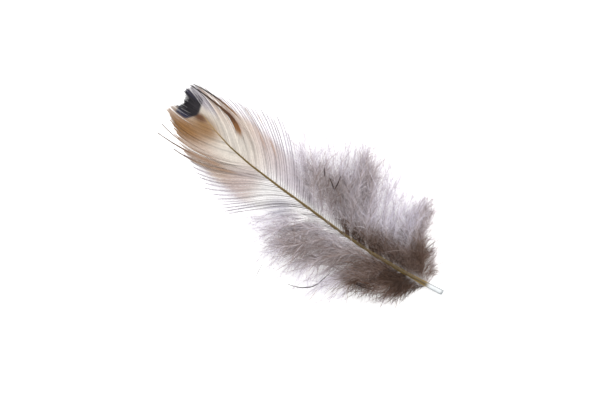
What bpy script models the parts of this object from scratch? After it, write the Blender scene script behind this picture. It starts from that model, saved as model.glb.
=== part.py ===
"""A pheasant's small body feather, lying on its hollow side.

The shaft runs along X, from the cut quill to the tip, and its middle arches off the surface.
Left is the side of +Y. The web is one thin curved shell, lofted from barb to barb, with a split
edge. Below it, soft locks of down leave the shaft, some flat on the surface and some standing
over them. All of it grew as one piece, so it is one solid. Sizes are in millimetres here and
become metres as the pieces are made.
"""
from math import radians

import bmesh
import bpy
import numpy as np
from mathutils import Matrix, Vector

NAME = "feather"
MM = 0.001
WELD_DISTANCE = 0.000001
LEFT = 1
RIGHT = -1

# The shaft: distance along the feather, sideways bow, height of its centre and its radius.
SHAFT_X = (0.0, 4.0, 9.7, 16.6, 23.9, 31.4, 38.7, 46.3, 51.5, 55.9, 58.8, 61.0)
SHAFT_Y = (0.0, 0.6, 1.3, 1.9, 2.1, 2.0, 2.0, 1.8, 1.3, 0.4, -0.4, -1.2)
SHAFT_Z = (0.55, 1.45, 2.6, 3.6, 4.2, 4.3, 3.9, 3.0, 2.2, 1.4, 0.9, 0.6)
SHAFT_RADIUS = (0.58, 0.60, 0.50, 0.44, 0.40, 0.37, 0.35, 0.33, 0.31, 0.30, 0.28, 0.26)
SHAFT_SEGMENTS = 20

# How a barb grows: its root on the shaft, its length, and its heading away from the shaft's
# side of X, in degrees, at its root, at its middle and at its tip.
BARBS = {
    RIGHT: (
        (3.2, 2.2, 64, 80, 95),
        (4.0, 5.0, 62, 92, 118),
        (4.8, 8.0, 60, 82, 114),
        (5.6, 12.0, 54, 66, 112),
        (6.5, 19.0, 47, 52, 106),
        (7.4, 18.0, 47, 52, 98),
        (8.2, 15.0, 48, 58, 78),
        (10.0, 16.5, 50, 62, 76),
        (15.0, 19.5, 54, 64, 76),
        (20.0, 22.0, 54, 60, 76),
        (26.0, 18.5, 54, 56, 62),
        (31.0, 16.5, 56, 54, 50),
        (35.0, 15.2, 60, 48, 36),
        (39.0, 16.2, 58, 38, 24),
        (44.0, 16.5, 50, 30, 8),
        (48.0, 17.6, 42, 24, 2),
        (52.0, 14.6, 42, 22, 6),
        (56.0, 10.0, 34, 24, 14),
        (58.8, 7.2, 26, 20, 15),
        (61.0, 4.7, 16, 13, 11),
    ),
    LEFT: (
        (3.2, 2.0, 60, 64, 66),
        (4.6, 8.0, 55, 60, 62),
        (7.5, 11.0, 40, 50, 60),
        (9.5, 14.5, 36, 48, 64),
        (12.0, 20.5, 34, 56, 92),
        (16.0, 20.5, 30, 50, 76),
        (19.0, 20.3, 26, 48, 74),
        (23.0, 18.2, 24, 44, 64),
        (27.0, 19.2, 22, 42, 56),
        (31.0, 17.0, 21, 44, 36),
        (35.0, 16.4, 21, 46, 18),
        (39.0, 17.2, 21, 36, 4),
        (43.0, 17.4, 21, 24, -2),
        (47.0, 16.6, 24, 14, -8),
        (51.5, 15.0, 22, 9, -18),
        (56.0, 10.2, 18, 8, -6),
        (58.8, 6.6, 12, 9, 4),
        (61.0, 4.4, 4, 2, 0),
    ),
}
LENGTH_COLUMN = 1
HEADING_COLUMNS = (2, 3, 4)
BARB_STEPS = 24

# The web: where it begins and ends on the shaft, its thickness and how its edge is split.
WEB_START = 28.0
WEB_END = 60.9
WEB_THICKNESS = 0.4
WEB_EDGE_HEIGHT = 0.12
WEB_EDGE_SHARE = 0.06
WEB_DROOP = 1.7
WEB_ROWS = 38
WEB_COLUMNS = 7
NOTCH_DEPTH = 0.08

# The down: where it begins and ends on the shaft, how high its locks' tips and bows are, and the
# stride through that range that sets each lock apart from its neighbours.
DOWN_START = 3.4
DOWN_END = {RIGHT: 33.5, LEFT: 31.5}
DOWN_SPACING = 1.3
TIP_HEIGHTS = (0.2, 5.2)
BOW_HEIGHTS = (0.0, 2.4)
LOCK_END_SHARE = 0.25
LOCK_DROOP = 1.4
FULL_REACH = 12.0
STRIDE = 0.382

# One lock: how far it overlaps its neighbours, its oval section, how full it is at its root, how
# far its fullest place lies towards the root, and the share of its length that narrows to the tip.
LOCK_OVERLAP = 1.5
LOCK_WIDEST = 1.5
LOCK_FLATNESS = 0.42
LOCK_POINTS = 8
LOCK_SIDES = 6
LOCK_ROOT_FULLNESS = 0.3
LOCK_SWELL_POWER = 0.8
LOCK_TIP_SHARE = 0.3
TAPER_POWER = 0.6
LOCK_TIP_RADIUS = 0.14
LOWEST_CENTRE = 0.15

# Locks that have come away from the web: side, root, length and half width.
STRAY_LOCKS = (
    (LEFT, 40.8, 20.8, 0.35),
    (LEFT, 42.8, 24.0, 0.45),
    (LEFT, 45.6, 20.8, 0.40),
    (RIGHT, 46.3, 20.4, 0.30),
    (RIGHT, 48.0, 20.6, 0.50),
)
STRAY_START = 0.45
STRAY_LIFT = 0.12
STRAY_TIP_SHARE = 0.4

# A block below the resting surface, which trims what dips under it.
TRIM_SIZE = 200.0
SMOOTH_ANGLE = 50.0
FEATHER_COLOUR = (0.38, 0.30, 0.25, 1.0)
FEATHER_ROUGHNESS = 0.65


def station(side, root, column):
    """One column of a side's barb list at root, straight between its rows."""
    rows = BARBS[side]
    return float(np.interp(root, [row[0] for row in rows], [row[column] for row in rows]))


def shaft_centre(x):
    """Centre of the shaft at x."""
    return np.array([x, np.interp(x, SHAFT_X, SHAFT_Y), np.interp(x, SHAFT_X, SHAFT_Z)])


def barb_plan(side, root, length, shares):
    """Points, seen from above, at the given shares of the barb that leaves the shaft at root."""
    headings = [station(side, root, column) for column in HEADING_COLUMNS]
    middles = (np.arange(BARB_STEPS) + 0.5) / BARB_STEPS
    angles = np.radians(np.interp(middles, (0.0, 0.5, 1.0), headings))
    steps = np.column_stack([np.cos(angles), side * np.sin(angles)]) * length / BARB_STEPS
    path = shaft_centre(root)[:2] + np.vstack([np.zeros(2), np.cumsum(steps, axis=0)])
    ends = np.linspace(0.0, 1.0, BARB_STEPS + 1)
    return np.column_stack([np.interp(shares, ends, path[:, axis]) for axis in (0, 1)])


def reach_of(side, root):
    """Length of the barb that leaves the shaft at root."""
    return station(side, root, LENGTH_COLUMN)


def taper(shares, tip_share):
    """How full a lock is towards its tip, from 1 where it begins to narrow to 0 at the tip."""
    return np.clip((1.0 - shares) / tip_share, 0.0, 1.0) ** TAPER_POWER


def droop(shares, level_share, power):
    """How far a barb has come down, from 0 at the shaft to 1 where its level outer end begins."""
    return np.minimum(np.asarray(shares) / (1.0 - level_share), 1.0) ** power


def web_height(root, shares):
    """Height of the web along a barb, from the shaft down to the web's resting edge."""
    top = shaft_centre(root)[2]
    return top + (WEB_EDGE_HEIGHT - top) * droop(shares, WEB_EDGE_SHARE, WEB_DROOP)


def add_object(name, data, collection):
    """Object of a mesh or a curve, in a collection."""
    made = bpy.data.objects.new(name, data)
    collection.objects.link(made)
    return made


def evaluated_mesh(source):
    """A new mesh of an object with its bevel and modifiers applied."""
    depsgraph = bpy.context.evaluated_depsgraph_get()
    return bpy.data.meshes.new_from_object(source.evaluated_get(depsgraph))


def mesh_of_curve(source, collection):
    """Mesh object that takes a curve's place, with its end caps welded on."""
    mesh = evaluated_mesh(source)
    shell = bmesh.new()
    shell.from_mesh(mesh)
    bmesh.ops.remove_doubles(shell, verts=shell.verts, dist=WELD_DISTANCE)
    bmesh.ops.recalc_face_normals(shell, faces=shell.faces)
    shell.to_mesh(mesh)
    shell.free()
    made = add_object(source.name + "_mesh", mesh, collection)
    made.matrix_world = source.matrix_world
    bpy.data.objects.remove(source)
    return made


def tube_curve(name):
    """Empty 3-D curve whose ends are closed."""
    curve = bpy.data.curves.new(name, "CURVE")
    curve.dimensions = "3D"
    curve.use_fill_caps = True
    return curve


def add_spline(curve, points, radii):
    """One spline of straight segments, through points in millimetres, with a radius at each."""
    spline = curve.splines.new("POLY")
    spline.points.add(len(points) - 1)
    for target, point, radius in zip(spline.points, points, radii):
        target.co = (*(point * MM), 1.0)
        target.radius = radius


def make_shaft(collection):
    """The quill and the shaft, one tapered tube."""
    curve = tube_curve("shaft")
    curve.bevel_depth = MM
    curve.bevel_resolution = 2
    places = np.linspace(SHAFT_X[0], SHAFT_X[-1], SHAFT_SEGMENTS + 1)
    points = np.array([shaft_centre(x) for x in places])
    add_spline(curve, points, np.interp(places, SHAFT_X, SHAFT_RADIUS))
    return mesh_of_curve(add_object("shaft", curve, collection), collection)


def web_row(number):
    """Points of the web across the feather, from the left edge over the shaft to the right."""
    root = WEB_START + (WEB_END - WEB_START) * number / (WEB_ROWS - 1)
    shares = np.linspace(0.0, 1.0, WEB_COLUMNS)
    heights = web_height(root, shares)
    halves = []
    kept = 1.0 - NOTCH_DEPTH * (number % 2)
    for side in (LEFT, RIGHT):
        plan = barb_plan(side, root, reach_of(side, root), shares * kept)
        halves.append(np.column_stack([plan, heights]))
    return np.vstack([halves[0][:0:-1], halves[1]])


def make_web(collection):
    """The web: a sheet lofted between unlike barbs, given its thickness by Solidify."""
    sheet = bmesh.new()
    rows = [[sheet.verts.new(point * MM) for point in web_row(number)] for number in range(WEB_ROWS)]
    for near, far in zip(rows, rows[1:]):
        for corner, beside, across, ahead in zip(near, near[1:], far[1:], far):
            sheet.faces.new((corner, beside, across, ahead))
    mesh = bpy.data.meshes.new("web")
    sheet.to_mesh(mesh)
    sheet.free()
    web = add_object("web", mesh, collection)
    thickness = web.modifiers.new("thickness", "SOLIDIFY")
    thickness.thickness = WEB_THICKNESS * MM
    thickness.offset = 0.0
    return web


def lock_fullness(shares):
    """Width of a lock from its root, at 0, to its tip, at 1, as a share of its widest."""
    swell = np.sin(np.pi * shares ** LOCK_SWELL_POWER)
    return (LOCK_ROOT_FULLNESS + (1.0 - LOCK_ROOT_FULLNESS) * swell) * taper(shares, LOCK_TIP_SHARE)


def down_widths(side, root, shares, plan):
    """Half widths of a lock of down that fills the room between its two neighbours."""
    reach = reach_of(side, root)
    before = barb_plan(side, root - DOWN_SPACING / 2, reach, shares)
    after = barb_plan(side, root + DOWN_SPACING / 2, reach, shares)
    along = np.gradient(plan, axis=0)
    along = along / np.linalg.norm(along, axis=1)[:, None]
    room = after - before
    return LOCK_OVERLAP * np.abs(along[:, 0] * room[:, 1] - along[:, 1] * room[:, 0])


def add_down_lock(curve, side, root, level):
    """One lock of down, which lies on the surface at level 0 and stands highest at level 1."""
    shares = np.linspace(0.0, 1.0, LOCK_POINTS)
    reach = reach_of(side, root)
    plan = barb_plan(side, root, reach, shares)
    top = shaft_centre(root)[2]
    lift = min(1.0, reach / FULL_REACH)
    tip = lift * np.interp(level, (0.0, 1.0), TIP_HEIGHTS)
    bow = lift * np.interp(level, (0.0, 1.0), BOW_HEIGHTS)
    heights = top + (tip - top) * droop(shares, LOCK_END_SHARE, LOCK_DROOP)
    heights = heights + bow * np.sin(np.pi * shares)
    heights = np.maximum(heights, LOWEST_CENTRE)
    widths = np.minimum(down_widths(side, root, shares, plan), LOCK_WIDEST) * lock_fullness(shares)
    add_spline(curve, np.column_stack([plan, heights]), np.maximum(widths, LOCK_TIP_RADIUS))


def add_stray_lock(curve, side, root, length, half_width):
    """One slender lock that leaves the web part of the way out and runs past its edge."""
    shares = np.linspace(STRAY_START, 1.0, LOCK_POINTS)
    plan = barb_plan(side, root, length, shares)
    web_shares = np.minimum(shares * length / reach_of(side, root), 1.0)
    lifts = np.minimum(STRAY_LIFT * np.arange(LOCK_POINTS), STRAY_LIFT)
    heights = web_height(root, web_shares) + lifts
    widths = np.maximum(half_width * taper(shares, STRAY_TIP_SHARE), LOCK_TIP_RADIUS)
    add_spline(curve, np.column_stack([plan, heights]), widths)


def make_lock_section(collection):
    """The flat oval that every lock has for its section, one millimetre in half width."""
    section = bpy.data.curves.new("lock_section", "CURVE")
    ring = section.splines.new("POLY")
    ring.points.add(LOCK_SIDES - 1)
    ring.use_cyclic_u = True
    for number, point in enumerate(ring.points):
        turn = 2.0 * np.pi * number / LOCK_SIDES
        point.co = (np.cos(turn) * MM, np.sin(turn) * LOCK_FLATNESS * MM, 0.0, 1.0)
    return add_object("lock_section", section, collection)


def make_locks(collection):
    """The locks of down and the stray locks."""
    section = make_lock_section(collection)
    curve = tube_curve("locks")
    curve.twist_mode = "Z_UP"
    curve.bevel_mode = "OBJECT"
    curve.bevel_object = section
    for side in (RIGHT, LEFT):
        roots = np.arange(DOWN_START + DOWN_SPACING / 2, DOWN_END[side], DOWN_SPACING)
        for number, root in enumerate(roots):
            add_down_lock(curve, side, root, number * STRIDE % 1.0)
    for stray in STRAY_LOCKS:
        add_stray_lock(curve, *stray)
    locks = mesh_of_curve(add_object("locks", curve, collection), collection)
    bpy.data.objects.remove(section)
    return locks


def make_trim_block(collection):
    """A block whose top is the resting surface."""
    size = TRIM_SIZE * MM
    bpy.ops.mesh.primitive_cube_add(size=size, location=(0.0, 0.0, -size / 2))
    block = bpy.context.active_object
    block.name = "trim_block"
    for holder in list(block.users_collection):
        holder.objects.unlink(block)
    collection.objects.link(block)
    block.hide_render = True
    block.display_type = "WIRE"
    return block


def add_boolean(target, operation, **operand):
    """Boolean modifier on an object, with an object or a collection as its operand."""
    boolean = target.modifiers.new(operation.lower(), "BOOLEAN")
    boolean.operation = operation
    boolean.operand_type = "COLLECTION" if "collection" in operand else "OBJECT"
    for name, value in operand.items():
        setattr(boolean, name, value)


def centre_on_origin(mesh):
    """Move a mesh so that the middle of its box is over the origin and its underside at zero."""
    places = np.array([vertex.co for vertex in mesh.vertices])
    low = places.min(axis=0)
    high = places.max(axis=0)
    shift = Vector((-(low[0] + high[0]) / 2, -(low[1] + high[1]) / 2, -low[2]))
    mesh.transform(Matrix.Translation(shift))


def make_material():
    """Grey-brown feather."""
    material = bpy.data.materials.new("feather")
    material.use_nodes = True
    shader = material.node_tree.nodes["Principled BSDF"]
    shader.inputs["Base Color"].default_value = FEATHER_COLOUR
    shader.inputs["Roughness"].default_value = FEATHER_ROUGHNESS
    shader.inputs["Metallic"].default_value = 0.0
    return material


def main():
    """Build the feather."""
    for old in list(bpy.data.objects):
        bpy.data.objects.remove(old)
    parts = bpy.data.collections.new(NAME)
    growth = bpy.data.collections.new("growth")
    cutters = bpy.data.collections.new("cutters")
    for collection in (parts, growth, cutters):
        bpy.context.scene.collection.children.link(collection)

    shaft = make_shaft(parts)
    branches = [make_web(growth), make_locks(growth)]
    add_boolean(shaft, "UNION", collection=growth)
    add_boolean(shaft, "DIFFERENCE", object=make_trim_block(cutters))
    mesh = evaluated_mesh(shaft)
    for piece in [shaft] + branches:
        bpy.data.objects.remove(piece)
    bpy.data.collections.remove(growth)

    centre_on_origin(mesh)
    mesh.shade_smooth()
    mesh.set_sharp_from_angle(angle=radians(SMOOTH_ANGLE))
    feather = add_object(NAME, mesh, parts)
    feather.data.materials.append(make_material())


main()
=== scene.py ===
"""A pheasant's small body feather on a white table, seen from straight above.

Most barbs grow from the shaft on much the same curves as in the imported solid. Towards the tip
of the feather the barbs carry short barbules that lie in the web. Towards the quill they carry
long loose barbules, which make the down. Sizes are in millimetres, in the feather's own plan,
where the cut end of the quill is the origin and X runs to the tip, and they become metres in the
mesh.
"""

from types import SimpleNamespace

import bpy
import numpy as np
from mathutils import Matrix


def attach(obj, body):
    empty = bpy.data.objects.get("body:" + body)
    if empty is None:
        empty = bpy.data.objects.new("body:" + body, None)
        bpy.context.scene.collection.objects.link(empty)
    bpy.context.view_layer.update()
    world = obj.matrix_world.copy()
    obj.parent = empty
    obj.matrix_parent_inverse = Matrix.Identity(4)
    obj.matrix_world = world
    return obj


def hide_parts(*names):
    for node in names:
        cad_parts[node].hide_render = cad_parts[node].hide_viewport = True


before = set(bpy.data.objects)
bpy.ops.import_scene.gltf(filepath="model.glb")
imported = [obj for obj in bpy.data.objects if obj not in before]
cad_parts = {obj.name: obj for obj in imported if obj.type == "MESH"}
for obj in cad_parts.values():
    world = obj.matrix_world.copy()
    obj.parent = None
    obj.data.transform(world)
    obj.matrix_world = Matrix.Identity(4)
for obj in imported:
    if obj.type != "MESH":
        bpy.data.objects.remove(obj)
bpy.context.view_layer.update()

NODE = "feather"
BODY = "root"
MM = 0.001
LEFT = 1
RIGHT = -1

# The shaft: distance along the feather, sideways bow, height of its centre and its radius.
SHAFT_X = (0.0, 4.0, 9.7, 16.6, 23.9, 31.4, 38.7, 46.3, 51.5, 55.9, 58.8, 61.0)
SHAFT_Y = (0.0, 0.6, 1.3, 1.9, 2.1, 2.0, 2.0, 1.8, 1.3, 0.4, -0.4, -1.2)
SHAFT_Z = (0.55, 1.45, 2.6, 3.6, 4.2, 4.3, 3.9, 3.0, 2.2, 1.4, 0.9, 0.6)
SHAFT_RADIUS = (0.56, 0.52, 0.43, 0.35, 0.29, 0.26, 0.23, 0.19, 0.16, 0.13, 0.10, 0.06)

# How a barb grows: its root on the shaft, its length, and its heading away from the shaft's
# side of X, in degrees, at its root, at its middle and at its tip.
BARBS = {
    RIGHT: (
        (3.2, 2.2, 64, 80, 95), (4.0, 4.2, 60, 82, 104), (4.8, 6.4, 57, 72, 104),
        (5.6, 10.0, 52, 60, 104), (6.5, 19.0, 47, 52, 106), (7.4, 18.0, 47, 52, 98),
        (8.2, 15.0, 48, 58, 78), (10.0, 16.5, 50, 62, 76), (15.0, 19.5, 54, 64, 76),
        (20.0, 22.0, 54, 60, 76), (26.0, 18.5, 54, 56, 62), (31.0, 16.5, 56, 54, 50),
        (35.0, 15.2, 60, 48, 36), (39.0, 16.2, 58, 38, 24), (44.0, 16.5, 50, 30, 8),
        (48.0, 17.6, 42, 24, 2), (52.0, 14.6, 42, 22, 6), (56.0, 10.0, 34, 24, 14),
        (58.8, 7.2, 26, 20, 15), (61.0, 4.7, 16, 13, 11),
    ),
    LEFT: (
        (3.2, 2.0, 60, 64, 66), (4.6, 8.0, 55, 60, 62), (7.5, 11.0, 40, 50, 60),
        (9.5, 14.5, 36, 48, 64), (12.0, 20.5, 34, 56, 92), (16.0, 20.5, 30, 50, 76),
        (19.0, 20.3, 26, 48, 74), (23.0, 18.2, 24, 44, 64), (27.0, 19.2, 22, 42, 56),
        (31.0, 17.0, 21, 44, 48), (35.0, 16.2, 21, 46, 34), (39.0, 17.0, 21, 37, 10),
        (43.0, 17.4, 21, 24, -2), (47.0, 16.6, 24, 14, -8), (51.5, 15.0, 22, 9, -18),
        (56.0, 10.2, 18, 8, -6), (58.8, 6.6, 12, 9, 4), (61.0, 4.4, 4, 2, 0),
    ),
}
LENGTH_COLUMN = 1
HEADING_COLUMNS = (2, 3, 4)

# A barb is worked out in steps, at these shares of its length.
BARB_STEPS = 30
BARB_SHARES = np.linspace(0.0, 1.0, BARB_STEPS + 1)[None]

# Distance between the roots of neighbouring barbs, at places along the shaft.
BARB_SPACING = {
    RIGHT: ((3.4, 0.30), (12.0, 0.38), (30.0, 0.46), (34.0, 0.56),
            (46.0, 0.54), (50.0, 0.44), (57.0, 0.22), (61.0, 0.12)),
    LEFT: ((3.4, 0.30), (12.0, 0.38), (24.0, 0.44), (31.0, 0.80),
           (44.0, 0.80), (50.0, 0.50), (54.0, 0.28), (61.0, 0.12)),
}
BARB_START = 3.4
BARB_END = 60.9

# How much of a barb, from its root, is web: beyond that length its barbules are loose down.
WEB_LENGTH = {
    RIGHT: ((3.0, 0.0), (12.0, 0.0), (20.0, 0.8), (28.0, 1.0), (33.0, 2.4), (35.0, 7.0), (36.5, 30.0)),
    LEFT: ((3.0, 0.0), (12.0, 0.0), (20.0, 0.8), (25.0, 3.0), (28.0, 6.4), (30.0, 9.0), (31.0, 30.0)),
}
WEB_FADE = 2.0

# Beyond this length a barb of the web thins out into a pale fringe with fewer, shorter barbules.
FRINGE_START = {
    RIGHT: (
        (31.0, 12.0), (34.0, 8.0), (37.0, 7.0),
        (40.0, 9.0), (44.0, 11.0), (47.0, 14.0),
        (50.0, 16.0), (52.0, 6.0), (57.0, 4.2),
        (59.0, 30.0),
    ),
    LEFT: ((28.0, 16.0), (31.0, 10.0), (34.0, 10.0), (38.0, 11.0), (41.0, 13.0), (44.0, 30.0)),
}
FRINGE_FADE = 4.0
NO_FRINGE = 40.0

# Where the down is dark and full: centre, half length, half width, direction in degrees, tone
# from 0 for the palest to 1 for the darkest, and the share of barbules there. Elsewhere the down
# has the pale tone and cover, and the less full it is, the more its barbules shorten.
DOWN_MARKS = {
    RIGHT: (
        ((29.5, -2.9), 7.6, 3.4, -8.0, 0.41, 1.0),
        ((25.2, -8.4), 6.4, 2.0, -58.0, 0.34, 0.7),
        ((11.6, -9.5), 5.2, 1.5, -68.0, 0.34, 0.8),
        ((13.0, -0.2), 10.6, 2.4, 6.0, 0.66, 1.0),
        ((7.6, -2.4), 4.4, 2.6, -50.0, 0.78, 1.0),
    ),
    LEFT: (
        ((27.2, 7.8), 7.4, 4.2, 15.0, 0.42, 1.0),
        ((12.8, 4.6), 9.4, 4.0, 12.0, 0.67, 1.0),
        ((7.0, 2.4), 5.2, 3.0, 20.0, 1.00, 1.0),
        ((14.2, 8.0), 3.4, 1.0, 15.0, 1.00, 1.0),
    ),
}
PALE_TONE = 0.03
PALE_COVER = 0.22
PALE_LENGTH = 0.7

# Splits in the web: from the first root on, the barbs between two of them draw together and leave
# gaps beside them.
SPLITS = {
    RIGHT: (44.6, 46.6, 49.6, 51.8, 54.2, 56.6, 58.4, 59.6, 60.3),
    LEFT: (46.6, 48.4, 51.0, 54.6, 58.2, 59.4, 60.2),
}
SPLIT_PULL = 0.16

# The notch in the tip: the share that the left side's last barbs lose, and their roots.
NOTCH_DEPTH = 0.20
NOTCH_ROOTS = (57.5, 60.5)

# Heights: the web comes down to its resting edge, and the locks of down lie at several levels.
WEB_EDGE_HEIGHT = 0.12
WEB_EDGE_SHARE = 0.06
WEB_DROOP = 1.7
DOWN_START = 3.4
DOWN_SPACING = 1.3
TIP_HEIGHTS = (0.2, 5.2)
BOW_HEIGHTS = (0.0, 2.4)
LOCK_END_SHARE = 0.25
LOCK_DROOP = 1.4
FULL_REACH = 12.0
STRIDE = 0.382
LOWEST = 0.05

# The cross section of stems and loose fibres.
FIBRE_SIDES = 4
FIBRE_FLATNESS = 0.8


def smooth(value, low, high):
    """0 up to low, 1 from high on, and a soft rise between them."""
    share = np.clip((np.asarray(value, float) - low) / (high - low), 0.0, 1.0)
    return share * share * (3.0 - 2.0 * share)


def fade_in(distance, start, fade):
    """A soft rise from 0 to 1 about start, over the length fade."""
    return smooth(distance - start, -0.3 * fade, 0.7 * fade)


def along(table, places, column=1):
    """A column of a table at places, straight between its rows."""
    return np.interp(places, [row[0] for row in table], [row[column] for row in table])


def linear(red, green, blue):
    """A colour of the photograph's scale, 0 to 255, as linear light."""
    share = np.array([red, green, blue]) / 255.0
    return np.where(share > 0.04045, ((share + 0.055) / 1.055) ** 2.4, share / 12.92)


def shaft_centre(places):
    """Centres of the shaft at places along it."""
    places = np.asarray(places, float)
    return np.stack([places, np.interp(places, SHAFT_X, SHAFT_Y), np.interp(places, SHAFT_X, SHAFT_Z)], -1)


def plan_origin():
    """Where the cut end of the quill, the origin of the feather's plan, is in the frame."""
    solid = np.array([vertex.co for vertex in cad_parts[NODE].data.vertices]) / MM
    end = solid[solid[:, 0] < solid[:, 0].min() + 0.3]
    return np.array([end[:, 0].mean(), end[:, 1].mean(), 0.0])


ORIGIN = plan_origin()


def unit(vectors):
    """Vectors scaled to length one."""
    return vectors / np.maximum(np.linalg.norm(vectors, axis=-1, keepdims=True), 1e-9)


def growth_roots(side, start, end):
    """Roots of a side's barbs between two places on the shaft."""
    roots = []
    place = BARB_START
    while place < BARB_END:
        roots.append(place)
        place += along(BARB_SPACING[side], place)
    roots = np.array(roots)
    return roots[(roots >= start) & (roots < end)]


def growth_headings(side, roots):
    """Headings of barbs at their roots, middles and tips, in degrees."""
    return np.stack([along(BARBS[side], roots, column) for column in HEADING_COLUMNS], -1)


def plan_paths(side, roots, lengths, headings):
    """Barbs from above, point by point, as an array of barb, step and axis."""
    middles = (np.arange(BARB_STEPS) + 0.5) / BARB_STEPS
    first = headings[:, :1] + (headings[:, 1:2] - headings[:, :1]) * middles * 2.0
    second = headings[:, 1:2] + (headings[:, 2:3] - headings[:, 1:2]) * (middles * 2.0 - 1.0)
    angles = np.radians(np.where(middles < 0.5, first, second))
    steps = np.stack([np.cos(angles), side * np.sin(angles)], -1) * lengths[:, None, None] / BARB_STEPS
    walked = np.concatenate([np.zeros((len(roots), 1, 2)), np.cumsum(steps, axis=1)], axis=1)
    return shaft_centre(roots)[:, None, :2] + walked


def droop(shares, level_share, power):
    """How far a barb has come down, from 0 at the shaft to 1 where its level outer end begins."""
    return np.minimum(shares / (1.0 - level_share), 1.0) ** power


def web_heights(roots, shares):
    """Heights of barbs that lie in the web."""
    top = shaft_centre(roots)[:, 2:]
    return top + (WEB_EDGE_HEIGHT - top) * droop(shares, WEB_EDGE_SHARE, WEB_DROOP)


def down_heights(roots, lengths, levels, shares):
    """Heights of barbs in locks that lie at level 0 on the surface and at level 1 highest."""
    top = shaft_centre(roots)[:, 2:]
    lift = np.minimum(1.0, lengths / FULL_REACH)[:, None]
    tip = lift * np.interp(levels, (0.0, 1.0), TIP_HEIGHTS)[:, None]
    bow = lift * np.interp(levels, (0.0, 1.0), BOW_HEIGHTS)[:, None]
    heights = top + (tip - top) * droop(shares, LOCK_END_SHARE, LOCK_DROOP)
    return heights + bow * np.sin(np.pi * shares)


def ring_turns(sides):
    """Angles of a ring's points."""
    return 2.0 * np.pi * np.arange(sides) / sides


def tube_rings(tangents, turns, flatness):
    """Points round tubes of radius one, a ring at each tangent."""
    across = unit(np.cross(tangents, (0.0, 0.0, 1.0)))
    above = np.cross(across, tangents)
    level = across[..., None, :] * np.cos(turns)[:, None]
    return level + above[..., None, :] * np.sin(turns)[:, None] * flatness


def tube_walls(starts, sides):
    """Faces from each ring, which starts at the point of that number, to the next ring."""
    corner = np.arange(sides)
    following = (corner + 1) % sides
    near = starts + corner
    beside = starts + following
    return np.stack([near, near + sides, beside + sides, beside], -1).reshape(-1, 4)


class Fibres:
    """Gathers fibres as arrays of points, faces, colours and map places, and makes a mesh."""

    def __init__(self):
        self.points = []
        self.faces = []
        self.pigments = []
        self.maps = []
        self.count = 0

    def add(self, points, faces, pigments, maps):
        """Points with a colour and a map place each, and faces as arrays of their numbers."""
        self.points.append(points.reshape(-1, 3))
        self.pigments.append(pigments.reshape(-1, 3))
        self.maps.append(maps.reshape(-1, 2))
        self.faces.extend(face + self.count for face in faces)
        self.count += len(self.points[-1])

    def add_tubes(self, paths, radii, pigments, maps):
        """Closed tapered tubes along paths, an array of fibre, step and axis."""
        number, steps = paths.shape[:2]
        sides = FIBRE_SIDES
        rings = tube_rings(unit(np.gradient(paths, axis=1)), ring_turns(sides), FIBRE_FLATNESS)
        points = paths[:, :, None] + rings * radii[:, :, None, None]
        base = np.arange(number)[:, None, None] * steps * sides
        walls = tube_walls(base + np.arange(steps - 1)[:, None] * sides, sides)
        root_caps = base[:, 0] + np.arange(sides)
        tip_caps = (root_caps + (steps - 1) * sides)[:, ::-1]
        pigments = np.repeat(pigments[:, :, None], sides, axis=2)
        maps = np.repeat(maps[:, :, None], sides, axis=2)
        self.add(points, [walls, root_caps, tip_caps], pigments, maps)

    def add_ribbons(self, paths, widths, across, pigments, maps, map_across):
        """Flat fibres that end in a point: across is the direction of their half widths."""
        number, steps = paths.shape[:2]
        body = steps - 1
        half = across[:, None] * widths[:, :body, None]
        near = paths[:, :body] - half
        far = paths[:, :body] + half
        sides = np.stack([near, far], axis=2).reshape(number, body * 2, 3)
        points = np.concatenate([sides, paths[:, body:]], axis=1)
        base = np.arange(number)[:, None] * (body * 2 + 1)
        faces = [np.array([[0, 1, 3, 2]]) + 2 * step + base for step in range(body - 1)]
        faces.append(np.array([[0, 1, 2]]) + 2 * (body - 1) + base)
        shades = np.concatenate([np.repeat(pigments[:, :body], 2, axis=1), pigments[:, body:]], axis=1)
        edges = np.stack([maps[:, :body] - map_across, maps[:, :body] + map_across], axis=2)
        places = np.concatenate([edges.reshape(number, body * 2, 2), maps[:, body:]], axis=1)
        self.add(points, faces, shades, places)

    def make(self, name, material):
        """Make one mesh object of all that was gathered, riding on the feather's body."""
        points = (np.concatenate(self.points) + ORIGIN) * MM
        corners = np.concatenate([face.ravel() for face in self.faces])
        sizes = np.concatenate([np.full(len(face), face.shape[1]) for face in self.faces])
        mesh = bpy.data.meshes.new(name)
        mesh.vertices.add(len(points))
        mesh.vertices.foreach_set("co", points.astype(np.float32).ravel())
        mesh.loops.add(len(corners))
        mesh.loops.foreach_set("vertex_index", corners.astype(np.int32))
        mesh.polygons.add(len(sizes))
        mesh.polygons.foreach_set("loop_start", (np.cumsum(sizes) - sizes).astype(np.int32))
        mesh.update(calc_edges=True)
        pigments = np.concatenate(self.pigments)
        pigments = np.column_stack([np.clip(pigments, 0.0, 1.0), np.ones(len(pigments))])
        layer = mesh.color_attributes.new("pigment", "FLOAT_COLOR", "POINT")
        layer.data.foreach_set("color", pigments.astype(np.float32).ravel())
        places = np.concatenate(self.maps)[corners]
        mesh.uv_layers.new(name="OFBake").data.foreach_set("uv", places.astype(np.float32).ravel())
        mesh.shade_smooth()
        mesh.materials.append(material)
        piece = bpy.data.objects.new(name, mesh)
        bpy.context.scene.collection.objects.link(piece)
        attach(piece, BODY)
        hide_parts(NODE)


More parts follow.
